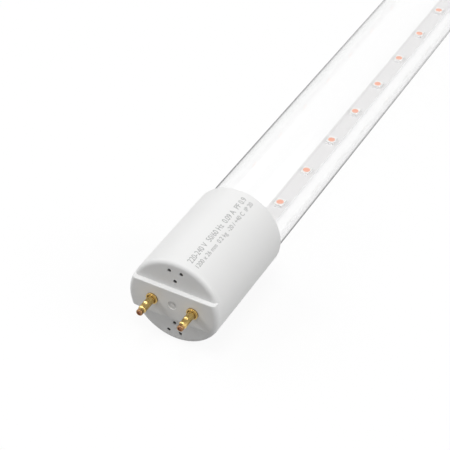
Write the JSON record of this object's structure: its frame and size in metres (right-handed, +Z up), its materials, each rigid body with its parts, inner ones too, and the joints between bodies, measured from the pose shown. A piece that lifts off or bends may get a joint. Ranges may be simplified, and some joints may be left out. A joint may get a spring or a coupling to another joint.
{
  "type": "led grow light tube",
  "caption": "Straight clear glass LED grow light tube with a row of pink LEDs on a strip inside and a two-pin white plastic cap on each end.",
  "frame": {"origin": "on the tube's axis, half way between the two bar faces", "axes": "+X along the tube from the supply end to the plain end, +Y along the line of the pins, +Z up, the way the LEDs face"},
  "size_m": [1.2138, 0.028, 0.028],
  "materials": {
    "cap_plastic": "satin white moulded plastic",
    "clear_glass": "clear polished soda-lime glass",
    "pin_brass": "drawn brass, lightly polished",
    "cap_glue": "cured white silicone glue",
    "strip_glue": "cured translucent silicone glue",
    "strip_board": "white solder mask on an aluminium strip",
    "led_body": "white package plastic",
    "led_phosphor": "pink phosphor in clear silicone",
    "solder": "bright solder",
    "board_green": "glass-fibre board with green mask",
    "fuse_coat": "grey-green lacquer",
    "package_black": "black moulded package",
    "film_box": "dipped red coating",
    "can_sleeve": "dark printed sleeve on an aluminium can",
    "ferrite": "pressed dark grey ferrite",
    "winding": "enamelled copper wire",
    "resistor_body": "chip resistor",
    "lead_white": "white lead insulation",
    "lead_black": "black lead insulation",
    "lead_red": "red lead insulation"
  },
  "bodies": {
    "root": {"bridge_rectifier": "package_black", "choke_core": "ferrite", "choke_winding": "winding", "driver_chip": "package_black", "film_capacitor": "film_box", "fuse_resistor": "fuse_coat", "glass_tube": "clear_glass", "led_housings": "led_body", "led_phosphors": "led_phosphor", "led_solder_joints": "solder", "led_strip_board": "strip_board", "live_lead": "lead_white", "live_pin": "pin_brass", "neutral_lead": "lead_white", "neutral_pin": "pin_brass", "output_diode": "package_black", "plain_cap_glue": "cap_glue", "plain_end_cap": "cap_plastic", "plain_end_left_pin": "pin_brass", "plain_end_link_lead": "lead_white", "plain_end_right_pin": "pin_brass", "sense_resistors": "resistor_body", "storage_capacitor": "can_sleeve", "strip_glue": "strip_glue", "strip_lead_negative": "lead_black", "strip_lead_positive": "lead_red", "supply_board": "board_green", "supply_cap_glue": "cap_glue", "supply_end_cap": "cap_plastic"}
  },
  "joints": []
}
